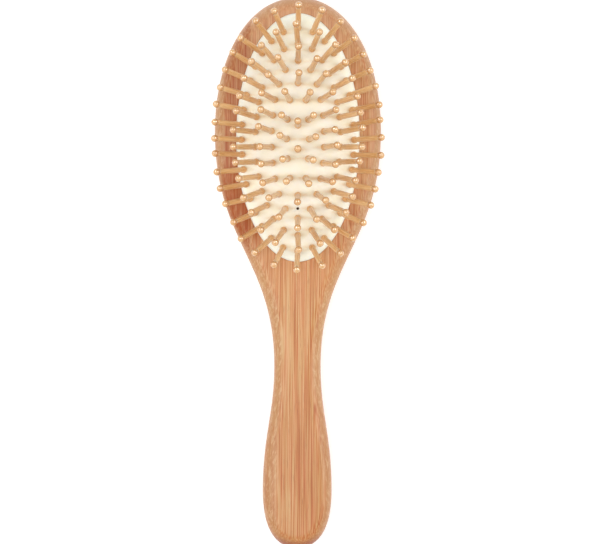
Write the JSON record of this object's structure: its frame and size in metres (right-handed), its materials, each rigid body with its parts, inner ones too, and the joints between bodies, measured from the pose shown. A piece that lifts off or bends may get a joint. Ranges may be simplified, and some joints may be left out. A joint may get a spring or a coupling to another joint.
{
  "type": "cushion paddle brush",
  "caption": "Oval wooden paddle brush: flat one-piece head and handle, and an air-filled rubber cushion with leaning ball-tipped pins that sinks and springs back when pressed.",
  "frame": {"origin": "middle of the outline's box, on the flat back that the brush lies on", "axes": "+Z out of the cushion along the pins, +Y from the handle's end to the top of the head, +X to the right seen from the pins"},
  "size_m": [0.0732, 0.2352, 0.041],
  "materials": {
    "bamboo": "fine upright grain under a thin satin lacquer",
    "rubber": "soft cream natural rubber, matt to satin",
    "pin_wood": "turned and lacquered, glossy ball tips"
  },
  "bodies": {
    "body": {"bamboo_body": "bamboo"},
    "cushion": {"rubber_cushion": "rubber", "hub_pin_head": "pin_wood", "hub_pin_handle": "pin_wood"},
    "inner_pin_01": {"inner_pin_01": "pin_wood"},
    "inner_pin_02": {"inner_pin_02": "pin_wood"},
    "inner_pin_03": {"inner_pin_03": "pin_wood"},
    "inner_pin_04": {"inner_pin_04": "pin_wood"},
    "inner_pin_05": {"inner_pin_05": "pin_wood"},
    "inner_pin_06": {"inner_pin_06": "pin_wood"},
    "inner_pin_07": {"inner_pin_07": "pin_wood"},
    "inner_pin_08": {"inner_pin_08": "pin_wood"},
    "inner_pin_09": {"inner_pin_09": "pin_wood"},
    "inner_pin_10": {"inner_pin_10": "pin_wood"},
    "inner_pin_11": {"inner_pin_11": "pin_wood"},
    "inner_pin_12": {"inner_pin_12": "pin_wood"},
    "middle_pins_01": {"middle_pins_01": "pin_wood"},
    "middle_pins_02": {"middle_pins_02": "pin_wood"},
    "middle_pins_03": {"middle_pins_03": "pin_wood"},
    "middle_pins_04": {"middle_pins_04": "pin_wood"},
    "middle_pins_05": {"middle_pins_05": "pin_wood"},
    "middle_pins_06": {"middle_pins_06": "pin_wood"},
    "middle_pins_07": {"middle_pins_07": "pin_wood"},
    "middle_pins_08": {"middle_pins_08": "pin_wood"},
    "middle_pins_09": {"middle_pins_09": "pin_wood"},
    "middle_pins_10": {"middle_pins_10": "pin_wood"},
    "middle_pins_11": {"middle_pins_11": "pin_wood"},
    "outer_pins_01": {"outer_pins_01": "pin_wood"},
    "outer_pins_02": {"outer_pins_02": "pin_wood"},
    "outer_pins_03": {"outer_pins_03": "pin_wood"},
    "outer_pins_04": {"outer_pins_04": "pin_wood"},
    "outer_pins_05": {"outer_pins_05": "pin_wood"},
    "outer_pins_06": {"outer_pins_06": "pin_wood"},
    "outer_pins_07": {"outer_pins_07": "pin_wood"},
    "outer_pins_08": {"outer_pins_08": "pin_wood"},
    "outer_pins_09": {"outer_pins_09": "pin_wood"},
    "outer_pins_10": {"outer_pins_10": "pin_wood"},
    "outer_pins_11": {"outer_pins_11": "pin_wood"},
    "outer_pins_12": {"outer_pins_12": "pin_wood"},
    "outer_pins_13": {"outer_pins_13": "pin_wood"},
    "outer_pins_14": {"outer_pins_14": "pin_wood"},
    "outer_pins_15": {"outer_pins_15": "pin_wood"},
    "rim_pins_01": {"rim_pins_01": "pin_wood"},
    "rim_pins_02": {"rim_pins_02": "pin_wood"},
    "rim_pins_03": {"rim_pins_03": "pin_wood"},
    "rim_pins_04": {"rim_pins_04": "pin_wood"},
    "rim_pins_05": {"rim_pins_05": "pin_wood"},
    "rim_pins_06": {"rim_pins_06": "pin_wood"},
    "rim_pins_07": {"rim_pins_07": "pin_wood"},
    "rim_pins_08": {"rim_pins_08": "pin_wood"},
    "rim_pins_09": {"rim_pins_09": "pin_wood"},
    "rim_pins_10": {"rim_pins_10": "pin_wood"},
    "rim_pins_11": {"rim_pins_11": "pin_wood"},
    "rim_pins_12": {"rim_pins_12": "pin_wood"},
    "rim_pins_13": {"rim_pins_13": "pin_wood"},
    "rim_pins_14": {"rim_pins_14": "pin_wood"},
    "rim_pins_15": {"rim_pins_15": "pin_wood"},
    "rim_pins_16": {"rim_pins_16": "pin_wood"},
    "rim_pins_17": {"rim_pins_17": "pin_wood"},
    "rim_pins_18": {"rim_pins_18": "pin_wood"}
  },
  "joints": [
    {"name": "cushion_press", "type": "slide", "parent": "body", "child": "cushion", "axis": [0, 0, -1], "range_m": [0, 0.0032], "stiffness_N_per_m": 2500, "deforming": ["rubber_cushion"]},
    {"name": "inner_pin_01_sink", "type": "slide", "parent": "body", "child": "inner_pin_01", "axis": [0, 0, -1], "range_m": [0, 0.00289]},
    {"name": "inner_pin_02_sink", "type": "slide", "parent": "body", "child": "inner_pin_02", "axis": [0, 0, -1], "range_m": [0, 0.00303]},
    {"name": "inner_pin_03_sink", "type": "slide", "parent": "body", "child": "inner_pin_03", "axis": [0, 0, -1], "range_m": [0, 0.00313]},
    {"name": "inner_pin_04_sink", "type": "slide", "parent": "body", "child": "inner_pin_04", "axis": [0, 0, -1], "range_m": [0, 0.00315]},
    {"name": "inner_pin_05_sink", "type": "slide", "parent": "body", "child": "inner_pin_05", "axis": [0, 0, -1], "range_m": [0, 0.0031]},
    {"name": "inner_pin_06_sink", "type": "slide", "parent": "body", "child": "inner_pin_06", "axis": [0, 0, -1], "range_m": [0, 0.00298]},
    {"name": "inner_pin_07_sink", "type": "slide", "parent": "body", "child": "inner_pin_07", "axis": [0, 0, -1], "range_m": [0, 0.00281]},
    {"name": "inner_pin_08_sink", "type": "slide", "parent": "body", "child": "inner_pin_08", "axis": [0, 0, -1], "range_m": [0, 0.00298]},
    {"name": "inner_pin_09_sink", "type": "slide", "parent": "body", "child": "inner_pin_09", "axis": [0, 0, -1], "range_m": [0, 0.0031]},
    {"name": "inner_pin_10_sink", "type": "slide", "parent": "body", "child": "inner_pin_10", "axis": [0, 0, -1], "range_m": [0, 0.00315]},
    {"name": "inner_pin_11_sink", "type": "slide", "parent": "body", "child": "inner_pin_11", "axis": [0, 0, -1], "range_m": [0, 0.00313]},
    {"name": "inner_pin_12_sink", "type": "slide", "parent": "body", "child": "inner_pin_12", "axis": [0, 0, -1], "range_m": [0, 0.00303]},
    {"name": "middle_pins_01_sink", "type": "slide", "parent": "body", "child": "middle_pins_01", "axis": [0, 0, -1], "range_m": [0, 0.00258]},
    {"name": "middle_pins_02_sink", "type": "slide", "parent": "body", "child": "middle_pins_02", "axis": [0, 0, -1], "range_m": [0, 0.00278]},
    {"name": "middle_pins_03_sink", "type": "slide", "parent": "body", "child": "middle_pins_03", "axis": [0, 0, -1], "range_m": [0, 0.00288]},
    {"name": "middle_pins_04_sink", "type": "slide", "parent": "body", "child": "middle_pins_04", "axis": [0, 0, -1], "range_m": [0, 0.00286]},
    {"name": "middle_pins_05_sink", "type": "slide", "parent": "body", "child": "middle_pins_05", "axis": [0, 0, -1], "range_m": [0, 0.00271]},
    {"name": "middle_pins_06_sink", "type": "slide", "parent": "body", "child": "middle_pins_06", "axis": [0, 0, -1], "range_m": [0, 0.00248]},
    {"name": "middle_pins_07_sink", "type": "slide", "parent": "body", "child": "middle_pins_07", "axis": [0, 0, -1], "range_m": [0, 0.00259]},
    {"name": "middle_pins_08_sink", "type": "slide", "parent": "body", "child": "middle_pins_08", "axis": [0, 0, -1], "range_m": [0, 0.0028]},
    {"name": "middle_pins_09_sink", "type": "slide", "parent": "body", "child": "middle_pins_09", "axis": [0, 0, -1], "range_m": [0, 0.00289]},
    {"name": "middle_pins_10_sink", "type": "slide", "parent": "body", "child": "middle_pins_10", "axis": [0, 0, -1], "range_m": [0, 0.00285]},
    {"name": "middle_pins_11_sink", "type": "slide", "parent": "body", "child": "middle_pins_11", "axis": [0, 0, -1], "range_m": [0, 0.00268]},
    {"name": "outer_pins_01_tip", "type": "hinge", "parent": "body", "child": "outer_pins_01", "pos_m": [0.01256, 0.1304, 0.0173], "axis": [0.9638, -0.2665, 0], "range_deg": [0, 3.43]},
    {"name": "outer_pins_02_tip", "type": "hinge", "parent": "body", "child": "outer_pins_02", "pos_m": [0.03429, 0.10334, 0.0175], "axis": [0.585, -0.8111, 0], "range_deg": [0, 4.56]},
    {"name": "outer_pins_03_tip", "type": "hinge", "parent": "body", "child": "outer_pins_03", "pos_m": [0.03958, 0.08237, 0.01768], "axis": [0.2932, -0.956, 0], "range_deg": [0, 5.3]},
    {"name": "outer_pins_04_tip", "type": "hinge", "parent": "body", "child": "outer_pins_04", "pos_m": [0.04119, 0.06466, 0.01775], "axis": [0.087, -0.9962, 0], "range_deg": [0, 5.63]},
    {"name": "outer_pins_05_tip", "type": "hinge", "parent": "body", "child": "outer_pins_05", "pos_m": [0.04079, 0.04798, 0.01769], "axis": [-0.087, -0.9962, 0], "range_deg": [0, 5.67]},
    {"name": "outer_pins_06_tip", "type": "hinge", "parent": "body", "child": "outer_pins_06", "pos_m": [0.0383, 0.03062, 0.01751], "axis": [-0.2932, -0.956, 0], "range_deg": [0, 5.43]},
    {"name": "outer_pins_07_tip", "type": "hinge", "parent": "body", "child": "outer_pins_07", "pos_m": [0.03203, 0.01088, 0.01721], "axis": [-0.585, -0.8111, 0], "range_deg": [0, 4.81]},
    {"name": "outer_pins_08_tip", "type": "hinge", "parent": "body", "child": "outer_pins_08", "pos_m": [0.01106, -0.01236, 0.01691], "axis": [-0.9638, -0.2665, 0], "range_deg": [0, 3.78]},
    {"name": "outer_pins_09_tip", "type": "hinge", "parent": "body", "child": "outer_pins_09", "pos_m": [-0.02531, -0.00074, 0.01704], "axis": [-0.7745, 0.6326, 0], "range_deg": [0, 4.3]},
    {"name": "outer_pins_10_tip", "type": "hinge", "parent": "body", "child": "outer_pins_10", "pos_m": [-0.03586, 0.02118, 0.01737], "axis": [-0.426, 0.9047, 0], "range_deg": [0, 5.18]},
    {"name": "outer_pins_11_tip", "type": "hinge", "parent": "body", "child": "outer_pins_11", "pos_m": [-0.03985, 0.03948, 0.01761], "axis": [-0.1822, 0.9833, 0], "range_deg": [0, 5.59]},
    {"name": "outer_pins_12_tip", "type": "hinge", "parent": "body", "child": "outer_pins_12", "pos_m": [-0.04122, 0.0563, 0.01774], "axis": [0, 1, 0], "range_deg": [0, 5.69]},
    {"name": "outer_pins_13_tip", "type": "hinge", "parent": "body", "child": "outer_pins_13", "pos_m": [-0.04069, 0.07327, 0.01773], "axis": [0.1822, 0.9833, 0], "range_deg": [0, 5.5]},
    {"name": "outer_pins_14_tip", "type": "hinge", "parent": "body", "child": "outer_pins_14", "pos_m": [-0.03763, 0.09225, 0.01761], "axis": [0.426, 0.9047, 0], "range_deg": [0, 4.99]},
    {"name": "outer_pins_15_tip", "type": "hinge", "parent": "body", "child": "outer_pins_15", "pos_m": [-0.02785, 0.11645, 0.01739], "axis": [0.7745, 0.6326, 0], "range_deg": [0, 4]},
    {"name": "rim_pins_01_tip", "type": "hinge", "parent": "body", "child": "rim_pins_01", "pos_m": [0.00812, 0.12219, 0.01599], "axis": [0.9684, -0.2496, 0], "range_deg": [0, 4.7]},
    {"name": "rim_pins_02_tip", "type": "hinge", "parent": "body", "child": "rim_pins_02", "pos_m": [0.02443, 0.10455, 0.01592], "axis": [0.6285, -0.7778, 0], "range_deg": [0, 6.35]},
    {"name": "rim_pins_03_tip", "type": "hinge", "parent": "body", "child": "rim_pins_03", "pos_m": [0.0299, 0.08856, 0.01582], "axis": [0.3683, -0.9297, 0], "range_deg": [0, 7.68]},
    {"name": "rim_pins_04_tip", "type": "hinge", "parent": "body", "child": "rim_pins_04", "pos_m": [0.0325, 0.07386, 0.01572], "axis": [0.1765, -0.9843, 0], "range_deg": [0, 8.42]},
    {"name": "rim_pins_05_tip", "type": "hinge", "parent": "body", "child": "rim_pins_05", "pos_m": [0.03332, 0.05978, 0.01563], "axis": [0.0325, -0.9995, 0], "range_deg": [0, 8.76]},
    {"name": "rim_pins_06_tip", "type": "hinge", "parent": "body", "child": "rim_pins_06", "pos_m": [0.03263, 0.04587, 0.01555], "axis": [-0.1004, -0.9949, 0], "range_deg": [0, 8.78]},
    {"name": "rim_pins_07_tip", "type": "hinge", "parent": "body", "child": "rim_pins_07", "pos_m": [0.03032, 0.03181, 0.01549], "axis": [-0.2649, -0.9643, 0], "range_deg": [0, 8.46]},
    {"name": "rim_pins_08_tip", "type": "hinge", "parent": "body", "child": "rim_pins_08", "pos_m": [0.02579, 0.01735, 0.01545], "axis": [-0.488, -0.8728, 0], "range_deg": [0, 7.65]},
    {"name": "rim_pins_09_tip", "type": "hinge", "parent": "body", "child": "rim_pins_09", "pos_m": [0.01667, 0.00208, 0.01542], "axis": [-0.7988, -0.6016, 0], "range_deg": [0, 6.15]},
    {"name": "rim_pins_10_tip", "type": "hinge", "parent": "body", "child": "rim_pins_10", "pos_m": [-0.00686, -0.00472, 0.01542], "axis": [-0.9684, 0.2496, 0], "range_deg": [0, 5.41]},
    {"name": "rim_pins_11_tip", "type": "hinge", "parent": "body", "child": "rim_pins_11", "pos_m": [-0.02218, 0.00986, 0.01543], "axis": [-0.6285, 0.7778, 0], "range_deg": [0, 6.98]},
    {"name": "rim_pins_12_tip", "type": "hinge", "parent": "body", "child": "rim_pins_12", "pos_m": [-0.02839, 0.02464, 0.01547], "axis": [-0.3683, 0.9297, 0], "range_deg": [0, 8.13]},
    {"name": "rim_pins_13_tip", "type": "hinge", "parent": "body", "child": "rim_pins_13", "pos_m": [-0.0317, 0.03888, 0.01552], "axis": [-0.1765, 0.9843, 0], "range_deg": [0, 8.67]},
    {"name": "rim_pins_14_tip", "type": "hinge", "parent": "body", "child": "rim_pins_14", "pos_m": [-0.03317, 0.05283, 0.01559], "axis": [-0.0325, 0.9995, 0], "range_deg": [0, 8.81]},
    {"name": "rim_pins_15_tip", "type": "hinge", "parent": "body", "child": "rim_pins_15", "pos_m": [-0.0331, 0.06677, 0.01567], "axis": [0.1004, 0.9949, 0], "range_deg": [0, 8.63]},
    {"name": "rim_pins_16_tip", "type": "hinge", "parent": "body", "child": "rim_pins_16", "pos_m": [-0.03145, 0.0811, 0.01577], "axis": [0.2649, 0.9643, 0], "range_deg": [0, 8.11]},
    {"name": "rim_pins_17_tip", "type": "hinge", "parent": "body", "child": "rim_pins_17", "pos_m": [-0.02767, 0.09631, 0.01587], "axis": [0.488, 0.8728, 0], "range_deg": [0, 7.1]},
    {"name": "rim_pins_18_tip", "type": "hinge", "parent": "body", "child": "rim_pins_18", "pos_m": [-0.01902, 0.11363, 0.01597], "axis": [0.7988, 0.6016, 0], "range_deg": [0, 5.46]}
  ],
  "couplings": [
    {"joint": "inner_pin_01_sink", "follows": "cushion_press", "ratio": 0.9016},
    {"joint": "inner_pin_02_sink", "follows": "cushion_press", "ratio": 0.9464},
    {"joint": "inner_pin_03_sink", "follows": "cushion_press", "ratio": 0.9758},
    {"joint": "inner_pin_04_sink", "follows": "cushion_press", "ratio": 0.983},
    {"joint": "inner_pin_05_sink", "follows": "cushion_press", "ratio": 0.9681},
    {"joint": "inner_pin_06_sink", "follows": "cushion_press", "ratio": 0.9308},
    {"joint": "inner_pin_07_sink", "follows": "cushion_press", "ratio": 0.8784},
    {"joint": "inner_pin_08_sink", "follows": "cushion_press", "ratio": 0.9308},
    {"joint": "inner_pin_09_sink", "follows": "cushion_press", "ratio": 0.9681},
    {"joint": "inner_pin_10_sink", "follows": "cushion_press", "ratio": 0.983},
    {"joint": "inner_pin_11_sink", "follows": "cushion_press", "ratio": 0.9758},
    {"joint": "inner_pin_12_sink", "follows": "cushion_press", "ratio": 0.9464},
    {"joint": "middle_pins_01_sink", "follows": "cushion_press", "ratio": 0.8062},
    {"joint": "middle_pins_02_sink", "follows": "cushion_press", "ratio": 0.8672},
    {"joint": "middle_pins_03_sink", "follows": "cushion_press", "ratio": 0.9005},
    {"joint": "middle_pins_04_sink", "follows": "cushion_press", "ratio": 0.894},
    {"joint": "middle_pins_05_sink", "follows": "cushion_press", "ratio": 0.8472},
    {"joint": "middle_pins_06_sink", "follows": "cushion_press", "ratio": 0.7732},
    {"joint": "middle_pins_07_sink", "follows": "cushion_press", "ratio": 0.8098},
    {"joint": "middle_pins_08_sink", "follows": "cushion_press", "ratio": 0.8756},
    {"joint": "middle_pins_09_sink", "follows": "cushion_press", "ratio": 0.9023},
    {"joint": "middle_pins_10_sink", "follows": "cushion_press", "ratio": 0.8888},
    {"joint": "middle_pins_11_sink", "follows": "cushion_press", "ratio": 0.8368},
    {"joint": "outer_pins_01_tip", "follows": "cushion_press", "rad_per_m": 18.677},
    {"joint": "outer_pins_02_tip", "follows": "cushion_press", "rad_per_m": 24.856},
    {"joint": "outer_pins_03_tip", "follows": "cushion_press", "rad_per_m": 28.845},
    {"joint": "outer_pins_04_tip", "follows": "cushion_press", "rad_per_m": 30.67},
    {"joint": "outer_pins_05_tip", "follows": "cushion_press", "rad_per_m": 30.908},
    {"joint": "outer_pins_06_tip", "follows": "cushion_press", "rad_per_m": 29.586},
    {"joint": "outer_pins_07_tip", "follows": "cushion_press", "rad_per_m": 26.176},
    {"joint": "outer_pins_08_tip", "follows": "cushion_press", "rad_per_m": 20.587},
    {"joint": "outer_pins_09_tip", "follows": "cushion_press", "rad_per_m": 23.419},
    {"joint": "outer_pins_10_tip", "follows": "cushion_press", "rad_per_m": 28.2},
    {"joint": "outer_pins_11_tip", "follows": "cushion_press", "rad_per_m": 30.46},
    {"joint": "outer_pins_12_tip", "follows": "cushion_press", "rad_per_m": 30.974},
    {"joint": "outer_pins_13_tip", "follows": "cushion_press", "rad_per_m": 29.977},
    {"joint": "outer_pins_14_tip", "follows": "cushion_press", "rad_per_m": 27.182},
    {"joint": "outer_pins_15_tip", "follows": "cushion_press", "rad_per_m": 21.779},
    {"joint": "rim_pins_01_tip", "follows": "cushion_press", "rad_per_m": 25.584},
    {"joint": "rim_pins_02_tip", "follows": "cushion_press", "rad_per_m": 34.579},
    {"joint": "rim_pins_03_tip", "follows": "cushion_press", "rad_per_m": 41.824},
    {"joint": "rim_pins_04_tip", "follows": "cushion_press", "rad_per_m": 45.874},
    {"joint": "rim_pins_05_tip", "follows": "cushion_press", "rad_per_m": 47.726},
    {"joint": "rim_pins_06_tip", "follows": "cushion_press", "rad_per_m": 47.835},
    {"joint": "rim_pins_07_tip", "follows": "cushion_press", "rad_per_m": 46.082},
    {"joint": "rim_pins_08_tip", "follows": "cushion_press", "rad_per_m": 41.667},
    {"joint": "rim_pins_09_tip", "follows": "cushion_press", "rad_per_m": 33.477},
    {"joint": "rim_pins_10_tip", "follows": "cushion_press", "rad_per_m": 29.481},
    {"joint": "rim_pins_11_tip", "follows": "cushion_press", "rad_per_m": 38.034},
    {"joint": "rim_pins_12_tip", "follows": "cushion_press", "rad_per_m": 44.288},
    {"joint": "rim_pins_13_tip", "follows": "cushion_press", "rad_per_m": 47.223},
    {"joint": "rim_pins_14_tip", "follows": "cushion_press", "rad_per_m": 47.992},
    {"joint": "rim_pins_15_tip", "follows": "cushion_press", "rad_per_m": 47.033},
    {"joint": "rim_pins_16_tip", "follows": "cushion_press", "rad_per_m": 44.176},
    {"joint": "rim_pins_17_tip", "follows": "cushion_press", "rad_per_m": 38.669},
    {"joint": "rim_pins_18_tip", "follows": "cushion_press", "rad_per_m": 29.713}
  ]
}
